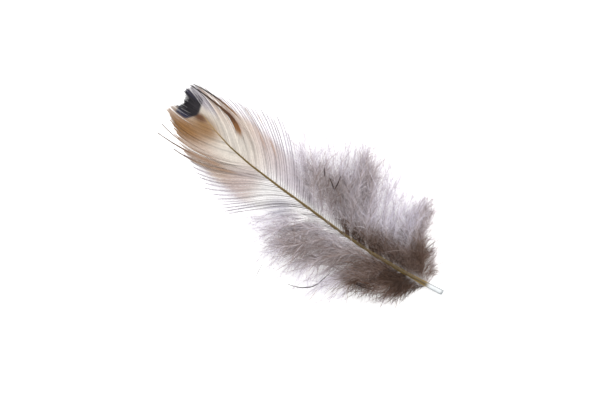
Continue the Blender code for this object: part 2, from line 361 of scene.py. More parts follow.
# The colours of the feather, as the photograph shows them.
CREAM = linear(214, 206, 196)
BEIGE = linear(206, 190, 178)
WHITE_VANE = linear(233, 231, 230)
# Grey of the web's stems: partly their own colour and partly painted shade between neighbouring barbs.
RAMUS_GREY = linear(118, 108, 114)
VIOLET_GREY = linear(192, 189, 198)
STRIPE_GREY = linear(202, 194, 201)
PINK_BROWN = linear(200, 184, 181)
TAN = linear(144, 104, 60)
OLIVE_BROWN = linear(142, 102, 50)
SPOT_BROWN = linear(100, 62, 28)
CHESTNUT = linear(134, 92, 52)
COPPER = linear(166, 138, 118)
RUSSET = linear(178, 154, 142)
DARK_CHESTNUT = linear(82, 52, 32)
UMBER = linear(44, 32, 30)
BLACK = linear(9, 8, 16)
BLUE_BLACK = linear(58, 56, 80)
LAVENDER = linear(204, 200, 212)

# Soft marks on the web: centre, half length, half width, direction in degrees, strength, colour.
WEB_MARKS = (
    ((34.0, -0.4), 7.0, 1.8, -4.0, 0.90, STRIPE_GREY),
    ((39.5, -2.2), 6.5, 2.6, -24.0, 0.90, STRIPE_GREY),
    ((45.2, -3.6), 6.0, 3.0, -32.0, 0.70, PINK_BROWN),
    ((46.0, 7.0), 5.5, 3.2, 75.0, 0.90, PINK_BROWN),
    ((52.5, 7.0), 6.5, 1.6, 8.0, 0.50, COPPER),
    ((36.6, 6.2), 3.0, 2.2, 62.0, 0.95, VIOLET_GREY),
    ((61.2, 3.6), 5.6, 2.4, 6.0, 1.00, TAN),
    ((58.0, 1.0), 3.6, 1.9, -6.0, 0.90, OLIVE_BROWN),
    ((60.0, 0.0), 1.6, 0.7, 6.0, 1.00, SPOT_BROWN),
)

# The web turns beige over these distances, towards the quill white, and in its fringe lavender.
BEIGE_REACH = (3.0, 10.0)
WHITE_START = 46.5
WHITE_FADE = 6.0
FRINGE_LAVENDER = 0.8

# The black patch: where it starts along the feather, how much further out it starts for each
# millimetre to the left and to the right of its middle, that middle's left and right edge, its
# sides, and the corner beyond which it leaves the tan lobe free. Away from the line down its
# middle it turns blue.
PATCH_START = 60.7
PATCH_SLOPES = (0.85, 0.35)
PATCH_MIDDLES = (0.1, -0.8)
PATCH_SIDES = (-3.3, 2.0)
PATCH_LOBE = (0.9, 64.7)
PATCH_LINE = -0.8
PATCH_BLUE = 0.7
PATCH_BLUE_REACH = (1.2, 2.4)


def mark_strength(x, y, centre, half_length, half_width, direction):
    """1 in the middle of a soft oval mark and 0 well outside it."""
    turn = np.radians(direction)
    forward = (x - centre[0]) * np.cos(turn) + (y - centre[1]) * np.sin(turn)
    sideways = (y - centre[1]) * np.cos(turn) - (x - centre[0]) * np.sin(turn)
    return np.exp(-((forward / half_length) ** 2 + (sideways / half_width) ** 2) ** 1.5)


def blend(under, over, share):
    """Colours under, covered by over where share is 1."""
    return under + (over - under) * np.asarray(share)[..., None]


def patch_strength(x, y):
    """1 inside the black patch at the tip, and 0 outside it."""
    start = PATCH_START + PATCH_SLOPES[0] * np.maximum(y - PATCH_MIDDLES[0], 0.0)
    start = start + PATCH_SLOPES[1] * np.maximum(PATCH_MIDDLES[1] - y, 0.0)
    inside = smooth(x - start, -0.3, 0.3)
    inside = inside * smooth(y - PATCH_SIDES[0], -0.4, 0.4) * smooth(PATCH_SIDES[1] - y, -0.2, 0.3)
    lobe = smooth(y - PATCH_LOBE[0], -0.2, 0.2) * smooth(x - PATCH_LOBE[1], -0.2, 0.3)
    return inside * (1.0 - 0.9 * lobe)


def web_pigment(x, y, distance, fringe):
    """Colours of the web at points of the plan."""
    colour = blend(CREAM + 0.0 * x[..., None], BEIGE, smooth(distance, *BEIGE_REACH))
    colour = blend(colour, WHITE_VANE, smooth(WHITE_START - x, 0.0, WHITE_FADE))
    for *mark, strength, tint in WEB_MARKS:
        colour = blend(colour, tint, strength * mark_strength(x, y, *mark))
    colour = blend(colour, LAVENDER, FRINGE_LAVENDER * fringe)
    patch = patch_strength(x, y)
    colour = blend(colour, BLACK, patch)
    blue = smooth(np.abs(y - PATCH_LINE), *PATCH_BLUE_REACH)
    return blend(colour, BLUE_BLACK, PATCH_BLUE * patch * blue)


# The down's colour at each tone.
DOWN_SHADES = (
    (0.0, linear(226, 221, 233)),
    (0.2, linear(201, 192, 197)),
    (0.5, linear(147, 130, 124)),
    (0.75, linear(108, 83, 68)),
    (1.0, linear(58, 40, 30)),
)


def down_pigment(tone):
    """Colours of down from its tone, 0 for the palest and 1 for the darkest."""
    tone = np.clip(tone, 0.0, 1.0)
    tones = [row[0] for row in DOWN_SHADES]
    bands = [np.interp(tone, tones, [row[1][band] for row in DOWN_SHADES]) for band in range(3)]
    return np.stack(bands, -1)


def look_up(table, owners, shares):
    """Values of a per-barb table of steps, at shares of the barbs that owners number."""
    owners, shares = np.broadcast_arrays(owners, shares)
    places = np.clip(shares, 0.0, 1.0) * (table.shape[1] - 1)
    before = np.minimum(places.astype(int), table.shape[1] - 2)
    part = places - before
    if table.ndim == 3:
        part = part[..., None]
    return table[owners, before] * (1.0 - part) + table[owners, before + 1] * part


def neighbour_room(paths):
    """Distance from each barb to the nearer of its neighbours, step by step."""
    tangents = unit(np.gradient(paths[:, :, :2], axis=1))
    steps = np.diff(paths[:, :, :2], axis=0)
    gaps = np.abs(steps[..., 0] * tangents[:-1, :, 1] - steps[..., 1] * tangents[:-1, :, 0])
    first = np.concatenate([gaps[:1], gaps], axis=0)
    last = np.concatenate([gaps, gaps[-1:]], axis=0)
    return np.minimum(first, last)


def gather(paths, groups, pull):
    """Draw each group of barbs together towards its middle, by pull at each step."""
    made = paths.copy()
    pull = np.broadcast_to(pull, paths.shape[:2])[..., None]
    for group in np.unique(groups):
        inside = groups == group
        middle = paths[inside].mean(axis=0)
        made[inside] += (middle - paths[inside]) * pull[inside]
    return made


# The waves of a soft barb: how often each turns on a barb of this length, and its strength.
WAVES = ((0.8, 1.0), (1.9, 0.5), (4.2, 0.22))
WAVE_BARB_LENGTH = 18.0


def wave(draws, paths, reach, lengths):
    """Sideways waves of barbs, which grow towards their tips."""
    number = len(paths)
    shares = BARB_SHARES
    tangents = unit(np.gradient(paths, axis=1))
    across = np.stack([-tangents[..., 1], tangents[..., 0]], -1)
    sway = np.zeros(paths.shape[:2])
    for turns, strength in WAVES:
        phases = draws.uniform(0.0, 2.0 * np.pi, (number, 1))
        rates = turns * draws.uniform(0.8, 1.25, (number, 1)) * lengths[:, None] / WAVE_BARB_LENGTH
        waves = np.sin(phases + 2.0 * np.pi * rates * shares) - np.sin(phases)
        sway += strength * draws.normal(0.0, 1.0, (number, 1)) * waves
    return paths + across * (sway * shares ** 0.7 * reach[:, None])[..., None]


def down_state(side, x, y):
    """Tone and fullness of the down at points of the plan."""
    tone = PALE_TONE + 0.0 * x
    cover = PALE_COVER + 0.0 * x
    for *mark, mark_tone, mark_cover in DOWN_MARKS[side]:
        strength = mark_strength(x, y, *mark)
        tone += (mark_tone - tone) * strength
        cover += (mark_cover - cover) * strength
    return tone, cover


# How much neighbouring barbs of the web differ in brightness.
BARB_SHADE = 0.09

# The barbs with these roots are bare beside the shaft, up to these distances from it, and the
# shares of their barbules that bare and fringe stretches lose.
BARE_ROOTS = (14.0, 46.0)
BARE_FADE = 8.0
BARE_REACH = (0.3, 1.5)
BARE_LOSS = 0.70
FRINGE_LOSS = 0.35


def add_looks(barbs, fringe_start):
    """Give barbs their states step by step: how far they are down, fringe and bare, and their tone."""
    distance = BARB_SHARES * barbs.lengths[:, None]
    web = along(WEB_LENGTH[barbs.side], barbs.roots)[:, None]
    barbs.distance = distance
    barbs.shade = barbs.draws.normal(1.0, BARB_SHADE, (len(barbs.roots), 1)) + 0.0 * distance
    barbs.down = fade_in(distance, web, WEB_FADE)
    start = np.broadcast_to(fringe_start, barbs.roots.shape)[:, None]
    barbs.fringe = fade_in(distance, start, FRINGE_FADE)
    first, last = BARE_ROOTS
    strip = smooth(last - barbs.roots, 0.0, BARE_FADE) * smooth(barbs.roots, first, first + BARE_FADE)
    barbs.bare = strip[:, None] * (1.0 - smooth(distance, *BARE_REACH))
    barbs.tone, cover = down_state(barbs.side, barbs.paths[..., 0], barbs.paths[..., 1])
    barbs.fullness = 1.0 + (cover - 1.0) * barbs.down
    barbs.cover = barbs.fullness * (1.0 - BARE_LOSS * barbs.bare) * (1.0 - FRINGE_LOSS * barbs.fringe)


# How far the headings of soft barbs stray at root, middle and tip, in degrees, in a group and alone.
GROUP_TURNS = (1.0, 4.0, 8.0)
OWN_TURNS = (3.0, 12.0, 30.0)
# From these roots towards the quill the barbs grow softer, and from this one they lie in locks,
# whose barbs draw together a little.
SOFT_ROOTS = {RIGHT: 35.0, LEFT: 32.0}
SOFT_FADE = 5.0
LOCK_ROOT = 37.0
LOCK_FADE = 6.0
LOCK_PULL = 0.08
# How much the lengths of stiff barbs vary and how far such barbs wave, and how much more soft ones.
LENGTH_SPREAD = (0.02, 0.10)
WAVE_REACH = (0.02, 0.58)
# How far all barbs stray in heading, in their lock's level and in height on the web.
HEADING_SPREAD = 0.4
LEVEL_SPREAD = 0.16
HEIGHT_SPREAD = 0.05


def barb_set(side, roots, lengths, plan, heights, draws):
    """Barbs along paths of plan and height, with their random draws, plain in colour and bulk."""
    paths = np.concatenate([plan, np.maximum(heights, LOWEST)[..., None]], -1)
    return SimpleNamespace(side=side, roots=roots, lengths=lengths, paths=paths, draws=draws,
                           streak=None, bulk=1.0)


def make_barbs(side, roots, seed):
    """The barbs of one stretch of a side: their paths, and what grows on them."""
    draws = np.random.default_rng(seed)
    number = len(roots)
    shares = BARB_SHARES
    soft = smooth(SOFT_ROOTS[side] - roots, 0.0, SOFT_FADE)
    groups = np.floor((roots - DOWN_START) / DOWN_SPACING).astype(int)
    group_turns = draws.normal(0.0, 1.0, (groups.max() + 1, 3)) * GROUP_TURNS
    lengths = along(BARBS[side], roots, LENGTH_COLUMN)
    lengths = lengths * (1.0 + draws.normal(0.0, 1.0, number) * (LENGTH_SPREAD[0] + LENGTH_SPREAD[1] * soft))
    if side == LEFT:
        lengths = lengths * (1.0 - NOTCH_DEPTH * smooth(roots, *NOTCH_ROOTS))
    own_turns = draws.normal(0.0, 1.0, (number, 3)) * OWN_TURNS
    headings = growth_headings(side, roots) + soft[:, None] * (group_turns[groups] + own_turns)
    headings = headings + draws.normal(0.0, HEADING_SPREAD, (number, 3))
    plan = plan_paths(side, roots, lengths, headings)
    plan = gather(plan, groups, soft[:, None] * LOCK_PULL * smooth(shares, 0.15, 0.9))
    splits = np.searchsorted(SPLITS[side], roots)
    plan = gather(plan, splits, (splits[:, None] > 0) * SPLIT_PULL * smooth(shares, 0.25, 1.0))
    plan = wave(draws, plan, WAVE_REACH[0] + WAVE_REACH[1] * soft, lengths)
    levels = np.clip(groups * STRIDE % 1.0 + draws.normal(0.0, LEVEL_SPREAD, number), 0.0, 1.0)
    on_web = web_heights(roots, shares) + HEIGHT_SPREAD * draws.normal(0.0, 1.0, (number, 1)) * shares
    in_down = down_heights(roots, lengths, levels, shares)
    mixed = smooth(LOCK_ROOT - roots, 0.0, LOCK_FADE)[:, None]
    barbs = barb_set(side, roots, lengths, plan, on_web + (in_down - on_web) * mixed, draws)
    add_looks(barbs, along(FRINGE_START[side], roots))
    return barbs


# Barbules: how far apart they are, how long and how wide, and their angle to the barb.
WEB_BARBULE_SPACING = 0.060
DOWN_BARBULE_SPACING = 0.048
DOWN_BARBULE_LENGTH = 2.7
WEB_BARBULE_WIDTH = 0.034
DOWN_BARBULE_WIDTHS = (0.010, 0.034)
WEB_BARBULE_ANGLE = 36.0
DOWN_BARBULE_ANGLE = 34.0
# One barbule in so many is a longer strand, and how its length, width and tone differ.
STRAND_EVERY = 9
STRAND_LENGTH = 1.6
STRAND_WIDTH = 0.042
STRAND_TONE = 0.12
STRAND_BEND = 0.75
BARBULE_STEPS = 4
BARBULE_TAPER = (0.8, 1.0, 0.75, 0.0)
MAP_ROW_FILL = 0.44

# Towards the quill the web is an open comb, whose barbules fill this share of the room, and
# between these roots it closes.
OPEN_REACH = 0.95
OPEN_ROOTS = (36.5, 46.5)

# The barbs' stems: their radius in the web and in the down, and their taper. Then how much darker
# than their barbules they are, and how much more where the down is thin, how strongly that turns
# a stem of the web grey, a grey that is partly the stem's own colour and partly painted shade
# between neighbouring barbs, which share of it is left where the web is closed, and the most grey.
STEM_RADIUS = 0.056
DOWN_STEM_RADIUS = 0.030
STEM_TAPER = 0.45
STEM_DARKER = 0.12
PALE_STEM_DARKER = 0.20
STEM_SHADE_CONTRAST = 6.0
CLOSED_CONTRAST = 0.15
MOST_GREY = 0.9
# How white the bare stretch beside the shaft is.
BARE_WHITE = 0.7


def map_places(row, rows, shares, offset):
    """Places on the colour map: across it along the barb, and a row up it for each barb."""
    upward = (row + 0.5 + MAP_ROW_FILL * offset) / rows
    return np.stack(np.broadcast_arrays(0.01 + 0.98 * shares, upward), -1)


def barb_pigment(barbs, owners, shares, points, darker):
    """Colours at points that grow from barbs owners, at shares along them."""
    down = look_up(barbs.down, owners, shares)
    fringe = look_up(barbs.fringe, owners, shares)
    bare = look_up(barbs.bare, owners, shares)
    distance = look_up(barbs.distance, owners, shares)
    web = web_pigment(points[..., 0], points[..., 1], distance, fringe)
    web = blend(web, WHITE_VANE, BARE_WHITE * bare)
    web = web * look_up(barbs.shade, owners, 0.0 * shares)[..., None]
    # The web's stems turn grey: partly their own colour, partly painted shade between neighbouring barbs.
    web = blend(web, RAMUS_GREY, np.clip(darker * STEM_SHADE_CONTRAST, 0.0, MOST_GREY))
    grey = down_pigment(look_up(barbs.tone, owners, shares) + darker)
    colour = web + (grey - web) * down[..., None]
    if barbs.streak is not None:
        for share_from, share_to, tint in barbs.streak:
            colour = blend(colour, tint, smooth(shares + 0.0 * down, share_from, share_to))
    return colour


def add_rami(fibres, barbs):
    """The barbs' own stems."""
    number = len(barbs.roots)
    shares = BARB_SHARES
    thick = (STEM_RADIUS + (DOWN_STEM_RADIUS - STEM_RADIUS) * barbs.down) * barbs.bulk
    radii = thick * (1.0 - STEM_TAPER * shares) * barbs.draws.uniform(0.85, 1.15, (number, 1))
    rows = np.arange(number)[:, None]
    darker = STEM_DARKER + barbs.draws.normal(0.0, 0.04, (number, 1)) + 0.0 * shares
    closed = smooth(barbs.roots, *OPEN_ROOTS)[:, None]
    darker = darker * (1.0 - (1.0 - CLOSED_CONTRAST) * closed * (1.0 - barbs.fringe))
    darker = darker + PALE_STEM_DARKER * (1.0 - barbs.fullness) * barbs.down
    pigments = barb_pigment(barbs, rows, shares, barbs.paths, darker)
    fibres.add_tubes(barbs.paths, radii, pigments, map_places(rows, number, shares, 0.0))


def barbule_places(barbs):
    """Owners and shares of barbules, which stand closer where a barb carries more of them."""
    spacing = WEB_BARBULE_SPACING + (DOWN_BARBULE_SPACING - WEB_BARBULE_SPACING) * barbs.down
    fullness = barbs.cover / spacing
    owners = []
    shares = []
    for number, length in enumerate(barbs.lengths):
        inside = 0.5 * (fullness[number, 1:] + fullness[number, :-1]) * length / BARB_STEPS
        running = np.concatenate([[0.0], np.cumsum(inside)])
        count = int(running[-1])
        wanted = (np.arange(count) + barbs.draws.uniform(0.0, 1.0, count)) * running[-1] / max(count, 1)
        owners.append(np.full(count * 2, number))
        shares.append(np.repeat(np.interp(wanted, running, BARB_SHARES[0]), 2))
    return np.concatenate(owners), np.concatenate(shares)


def add_barbules(fibres, barbs):
    """The barbules on both sides of each barb."""
    draws = barbs.draws
    number = len(barbs.roots)
    owners, shares = barbule_places(barbs)
    total = len(owners)
    hands = np.where(np.arange(total) % 2 == 0, 1.0, -1.0)
    base = look_up(barbs.paths, owners, shares)
    tangents = unit(look_up(np.gradient(barbs.paths, axis=1), owners, shares))
    across = unit(np.cross((0.0, 0.0, 1.0), tangents))
    above = np.cross(tangents, across)
    down = look_up(barbs.down, owners, shares)
    fringe = look_up(barbs.fringe, owners, shares)
    room = look_up(neighbour_room(barbs.paths), owners, shares)
    distance = look_up(barbs.distance, owners, shares)

    closed = OPEN_REACH + (1.0 - OPEN_REACH) * smooth(barbs.roots[owners], *OPEN_ROOTS)
    web_reach = np.minimum(room * 0.58 + 0.05, 0.46) * (0.45 + 0.55 * smooth(1.0 - shares, 0.0, 0.12))
    web_length = web_reach * closed / np.sin(np.radians(WEB_BARBULE_ANGLE)) * draws.uniform(0.9, 1.1, total)
    web_length = web_length * (1.0 - 0.45 * fringe)
    loose = 0.25 + 0.75 * draws.uniform(0.0, 1.0, total)
    down_length = DOWN_BARBULE_LENGTH * (0.3 + 0.7 * smooth(distance, 0.0, 3.0)) * loose
    down_length = down_length * (0.35 + 0.65 * smooth(1.0 - shares, 0.0, 0.3))
    strands = np.floor(draws.uniform(0.0, STRAND_EVERY, total)) < 1.0
    fullness = look_up(barbs.fullness, owners, shares)
    down_length = down_length * np.where(strands, STRAND_LENGTH, 1.0)
    down_length = down_length * (PALE_LENGTH + (1.0 - PALE_LENGTH) * fullness)
    lengths = web_length + (down_length - web_length) * down

    angles = WEB_BARBULE_ANGLE + (DOWN_BARBULE_ANGLE - WEB_BARBULE_ANGLE) * down
    angles = np.radians(angles + draws.normal(0.0, 2.0 + 15.0 * down, total))
    tilts = np.radians(draws.normal(-4.0, 4.0 + 28.0 * down, total))
    outward = across * (hands * np.cos(tilts))[:, None] + above * np.sin(tilts)[:, None]
    directions = tangents * np.cos(angles)[:, None] + outward * np.sin(angles)[:, None]
    bend = 0.02 + np.where(strands, STRAND_BEND, 0.28) * down
    bends = tangents * 0.3 + draws.normal(0.0, 1.0, (total, 3)) * bend[:, None] * (1.0, 1.0, 0.4)
    walk = np.linspace(0.0, 1.0, BARBULE_STEPS)[None, :, None]
    paths = base[:, None] + lengths[:, None, None] * (directions[:, None] * walk + bends[:, None] * walk ** 2)
    paths[..., 2] = np.maximum(paths[..., 2], LOWEST)

    rolls = draws.normal(0.0, 0.2 + 0.8 * down, total)
    flat = unit(np.cross(directions, above))
    edge = flat * np.cos(rolls)[:, None] + np.cross(directions, flat) * np.sin(rolls)[:, None]
    finest, thickest = DOWN_BARBULE_WIDTHS
    loose_width = finest + (thickest - finest) * draws.uniform(0.0, 1.0, total) ** 2.5
    loose_width = np.where(strands, STRAND_WIDTH, loose_width)
    breadth = (WEB_BARBULE_WIDTH + (loose_width - WEB_BARBULE_WIDTH) * down) * (1.0 - 0.3 * fringe)
    widths = breadth[:, None] * np.array(BARBULE_TAPER)

    outwards = np.linspace(0.0, 1.0, BARBULE_STEPS)[None]
    darker = draws.normal(0.0, 0.11, (total, 1)) - 0.12 * outwards + STRAND_TONE * strands[:, None]
    darker = darker * down[:, None]
    pigments = barb_pigment(barbs, owners[:, None], shares[:, None] + 0.0 * outwards, paths, darker)
    pigments = pigments * draws.uniform(0.95, 1.05, total)[:, None, None]
    maps = map_places(owners[:, None], number, shares[:, None], hands[:, None] * outwards)
    map_across = np.stack([0.4 * breadth / barbs.lengths[owners], np.zeros(total)], -1)[:, None]
    fibres.add_ribbons(paths, widths, edge, pigments, maps, map_across)


def make_extra(side, roots, lengths, headings, seed):
    """Barbs outside the even growth, with their own roots, lengths and headings, lying in the web."""
    plan = plan_paths(side, roots, lengths, headings)
    heights = web_heights(roots, BARB_SHARES)
    return barb_set(side, roots, lengths, plan, heights, np.random.default_rng(seed))


# The fan of barbs that closes the feather's tip, from the shaft's end: how many, how many draw
# together, headings and lengths from first to last, and the seeds of its draws.
FAN_BARBS = 16
FAN_GROUP = 2
FAN_HEADINGS = (15.0, -3.5)
FAN_LENGTHS = (4.8, 4.0)
FAN_SEEDS = (21, 22)


def make_tip_fan():
    """Barbs from the shaft's end, between the two sides' last barbs."""
    draws = np.random.default_rng(FAN_SEEDS[0])
    roots = np.full(FAN_BARBS, BARB_END)
    turns = np.linspace(*FAN_HEADINGS, FAN_BARBS)
    headings = np.stack([turns, turns, turns], -1)
    lengths = np.linspace(*FAN_LENGTHS, FAN_BARBS) * draws.uniform(0.82, 1.0, FAN_BARBS)
    barbs = make_extra(RIGHT, roots, lengths, headings, FAN_SEEDS[1])
    groups = np.arange(FAN_BARBS) // FAN_GROUP
    barbs.paths = gather(barbs.paths, groups, 0.8 * smooth(BARB_SHARES, 0.5, 0.9))
    add_looks(barbs, NO_FRINGE)
    barbs.cover = barbs.cover * (1.0 - 0.8 * smooth(BARB_SHARES, 0.55, 0.8))
    return barbs


# Coloured strands that lie over the web: side, first root, distance between roots, number of
# barbs, length, headings, how closely they draw together, and their colours from one share of
# their length to another.
STREAKS = (
    (RIGHT, 48.6, 0.24, 6, 19.1, (68, 7, -4), 0.86,
     ((0.17, 0.28, CHESTNUT), (0.28, 0.44, DARK_CHESTNUT), (0.62, 0.85, UMBER))),
    (RIGHT, 44.5, 0.22, 2, 23.9, (60, 10, -10), 0.88, ((0.44, 0.56, CHESTNUT), (0.60, 0.80, UMBER))),
    (RIGHT, 39.5, 0.30, 2, 15.4, (64, 34, 23), 0.85, ((0.30, 0.50, RUSSET), (0.84, 0.98, BEIGE))),
    (RIGHT, 41.6, 0.30, 2, 15.6, (58, 33, 18), 0.85, ((0.30, 0.55, RUSSET), (0.70, 0.90, BEIGE))),
    (RIGHT, 46.2, 0.30, 2, 17.4, (56, 20, 2), 0.85, ((0.30, 0.55, RUSSET), (0.70, 0.90, BEIGE))),
    (LEFT, 40.6, 0.28, 3, 21.6, (22, 24, 0), 0.85, ((0.30, 0.44, COPPER), (0.66, 0.92, DARK_CHESTNUT))),
    (LEFT, 42.8, 0.26, 4, 23.6, (30, 14, 0), 0.85, ((0.30, 0.44, COPPER), (0.56, 0.86, DARK_CHESTNUT))),
    (LEFT, 45.6, 0.26, 3, 21.2, (34, 10, -12), 0.85, ((0.30, 0.44, COPPER), (0.66, 0.92, DARK_CHESTNUT))),
)
# How high streaks lie over the web, how much thicker their stems are, and the seeds of their
# draws. Then the web's half width along the feather.
STREAK_LIFT = 0.25
STREAK_BULK = 1.7
STREAK_SEEDS = (31, 41)
WEB_HALF_WIDTH = ((40.0, 11.0), (50.0, 9.5), (60.0, 6.5), (66.0, 5.0))


def web_top(x, y):
    """Height of the web's upper side at points of the plan."""
    shaft = shaft_centre(np.minimum(x, SHAFT_X[-1]))
    outward = np.clip(np.abs(y - shaft[..., 1]) / along(WEB_HALF_WIDTH, x), 0.0, 1.0)
    return WEB_EDGE_HEIGHT + (shaft[..., 2] - WEB_EDGE_HEIGHT) * (1.0 - outward ** WEB_DROOP)


def make_streak(number, side, first, spacing, count, length, headings, closeness, colours):
    """One coloured strand of a few barbs, drawn together and lying over the web."""
    shares = BARB_SHARES
    draws = np.random.default_rng(STREAK_SEEDS[0] + number)
    roots = first + spacing * np.arange(count)
    lengths = length * draws.uniform(0.93, 1.0, count)
    turns = np.array(headings) + draws.normal(0.0, 0.8, (count, 3))
    barbs = make_extra(side, roots, lengths, turns, STREAK_SEEDS[1] + number)
    barbs.paths = gather(barbs.paths, np.zeros(count), closeness * smooth(shares, 0.25, 1.0))
    top = web_top(barbs.paths[..., 0], barbs.paths[..., 1])
    barbs.paths[..., 2] = np.maximum(barbs.paths[..., 2], top) + STREAK_LIFT * smooth(shares, 0.0, 0.3)
    barbs.streak = colours
    barbs.bulk = STREAK_BULK
    add_looks(barbs, NO_FRINGE)
    return barbs


# Short dark tufts of down over the base: side, first and last root, distance between roots,
# length, headings, tone, and how far they rise above the shaft's height.
TUFTS = (
    (RIGHT, 6.0, 22.5, 0.34, 4.6, (52.0, 40.0, 34.0), 0.86, 0.8),
    (LEFT, 5.0, 13.0, 0.34, 5.4, (40.0, 52.0, 60.0), 0.98, 0.6),
)
# How far their headings stray, and the seeds of their draws.
TUFT_TURNS = (4.0, 9.0, 16.0)
TUFT_SEEDS = (51, 61)


def make_tuft(number, side, start, end, spacing, length, headings, tone, rise):
    """One row of short dark barbs beside the shaft."""
    shares = BARB_SHARES
    draws = np.random.default_rng(TUFT_SEEDS[0] + number)
    roots = np.arange(start, end, spacing)
    count = len(roots)
    groups = np.floor(roots / DOWN_SPACING).astype(int)
    lengths = length * draws.uniform(0.7, 1.15, count) * draws.uniform(0.75, 1.1, groups.max() + 1)[groups]
    turns = np.array(headings) + draws.normal(0.0, 1.0, (count, 3)) * TUFT_TURNS
    barbs = make_extra(side, roots, lengths, turns, TUFT_SEEDS[1] + number)
    barbs.paths = gather(barbs.paths, groups, 0.25 * smooth(shares, 0.2, 1.0))
    barbs.paths[..., 2] = shaft_centre(roots)[:, 2:] + rise * np.sin(0.6 * np.pi * shares)
    add_looks(barbs, NO_FRINGE)
    barbs.down[:] = 1.0
    barbs.bare[:] = 0.0
    barbs.cover[:] = 1.0
    barbs.tone[:] = tone + draws.normal(0.0, 0.08, (count, 1)) - 0.3 * smooth(shares, 0.6, 1.0)
    return barbs


# Full plumes of down among the paler barbs: side, first and last root, distance between roots,
# length, headings, how closely they draw together, and the level at which they lie.
PLUMES = (
    (RIGHT, 4.6, 9.0, 0.20, 17.5, (52, 54, 104), 0.50, 0.75),
    (RIGHT, 18.0, 22.6, 0.25, 19.5, (56, 62, 78), 0.30, 0.80),
    (RIGHT, 10.0, 18.0, 0.50, 18.5, (50, 62, 78), 0.05, 0.60),
)
# How far their headings stray, and the seeds of their draws.
PLUME_TURNS = (2.5, 5.0, 14.0)
PLUME_SEEDS = (71, 81)


def make_plume(number, side, start, end, spacing, length, headings, closeness, level):
    """One plume of long down barbs."""
    shares = BARB_SHARES
    draws = np.random.default_rng(PLUME_SEEDS[0] + number)
    roots = np.arange(start, end, spacing)
    count = len(roots)
    lengths = length * draws.uniform(0.72, 1.06, count)
    turns = np.array(headings) + draws.normal(0.0, 1.0, (count, 3)) * PLUME_TURNS
    barbs = make_extra(side, roots, lengths, turns, PLUME_SEEDS[1] + number)
    plan = gather(barbs.paths[..., :2], np.zeros(count), closeness * smooth(shares, 0.1, 0.9))
    barbs.paths[..., :2] = wave(draws, plan, np.full(count, 0.3), lengths)
    levels = np.clip(level + draws.normal(0.0, 0.12, count), 0.0, 1.0)
    barbs.paths[..., 2] = np.maximum(down_heights(roots, lengths, levels, shares), LOWEST)
    add_looks(barbs, NO_FRINGE)
    return barbs


def set_inputs(node, values):
    """Set inputs of a shader node by their names."""
    for name, value in values.items():
        node.inputs[name].default_value = value


def plain_material(name, values):
    """A material of one shader with these values."""
    material = bpy.data.materials.new(name)
    material.use_nodes = True
    set_inputs(material.node_tree.nodes["Principled BSDF"], values)
    return material


# The fibres' gloss, and their mottling: its grain, and how far it makes them darker and lighter.
FIBRE_SPECULAR = 0.3
SHAFT_ROUGHNESS = 0.35
WEB_ROUGHNESS = 0.55
DOWN_ROUGHNESS = 0.65
MOTTLE_GRAIN = {"Scale": 2200.0, "Detail": 3.0}
MOTTLE_RANGE = {"From Min": 0.3, "From Max": 0.7, "To Min": 0.93, "To Max": 1.05}


def fibre_material(name, roughness):
    """Keratin fibres: their pigment, mottled finely."""
    material = plain_material(name, {"Roughness": roughness, "Specular IOR Level": FIBRE_SPECULAR})
    nodes = material.node_tree.nodes
    links = material.node_tree.links
    shader = nodes["Principled BSDF"]
    pigment = nodes.new("ShaderNodeAttribute")
    pigment.attribute_name = "pigment"
    place = nodes.new("ShaderNodeTexCoord")
    mottle = nodes.new("ShaderNodeTexNoise")
    set_inputs(mottle, MOTTLE_GRAIN)
    links.new(place.outputs["Object"], mottle.inputs["Vector"])
    shade = nodes.new("ShaderNodeMapRange")
    set_inputs(shade, MOTTLE_RANGE)
    links.new(mottle.outputs["Fac"], shade.inputs["Value"])
    mixed = nodes.new("ShaderNodeVectorMath")
    mixed.operation = "SCALE"
    links.new(pigment.outputs["Color"], mixed.inputs[0])
    links.new(shade.outputs["Result"], mixed.inputs["Scale"])
    links.new(mixed.outputs["Vector"], shader.inputs["Base Color"])
    return material


# The quill's cut end: an open tube, given as place along the shaft and radius, from the bottom
# of the hole outwards over the rim.
QUILL_HOLE = ((2.8, 0.02), (2.6, 0.30), (1.2, 0.40), (0.12, 0.42), (0.0, 0.45), (0.0, 0.53), (0.08, 0.56))
# Where the clear part of the quill ends, its colours, with painted shade for its flanks, the inside of its
# hole and its cut rim, and the width of that painted shaded rim.
QUILL_END = 3.3
QUILL_WHITE = linear(214, 217, 219)
QUILL_SHADE_GREY = linear(150, 154, 156)
QUILL_HOLE_SHADE = linear(104, 108, 108)
QUILL_SHADED_RIM = 0.5
# The shaft's colours, and its skin: sides, rings, first and last ring, and how flat it is.
SHAFT_OLIVE = linear(132, 110, 62)
SHAFT_RIDGE = linear(84, 68, 36)
SHAFT_TIP = linear(168, 140, 96)
SHAFT_SIDES = 20
SHAFT_RINGS = 190
SHAFT_SPAN = (0.3, 61.6)
SHAFT_FLATNESS = 0.92
# Its tangents are taken this far to both sides, and its last two rings close in by these shares.
SHAFT_STEP = 0.5
SHAFT_CLOSING = (0.6, 0.2)


def shaft_colour(x, up, hole_shade):
    """Colours of the shaft: a dark line along the top between yellow-brown flanks, and the clear quill with
    painted shade on its flanks, at its cut rim and inside its hole.
    """
    colour = blend(SHAFT_OLIVE + 0.0 * x[..., None], SHAFT_RIDGE, smooth(up, 0.70, 0.98))
    colour = blend(colour, SHAFT_TIP, smooth(x, 50.0, 59.0))
    # The clear quill: white on top, with painted shade on its flanks, at its cut end and inside its hole.
    clear = blend(QUILL_SHADE_GREY + 0.0 * x[..., None], QUILL_WHITE, smooth(up, 0.55, 0.95))
    clear = blend(clear, QUILL_SHADE_GREY, 1.0 - smooth(x, 0.4 * QUILL_SHADED_RIM, 1.4 * QUILL_SHADED_RIM))
    clear = blend(clear, QUILL_HOLE_SHADE, hole_shade)
    return blend(clear, colour, smooth(x, QUILL_END - 0.4, QUILL_END + 0.8))


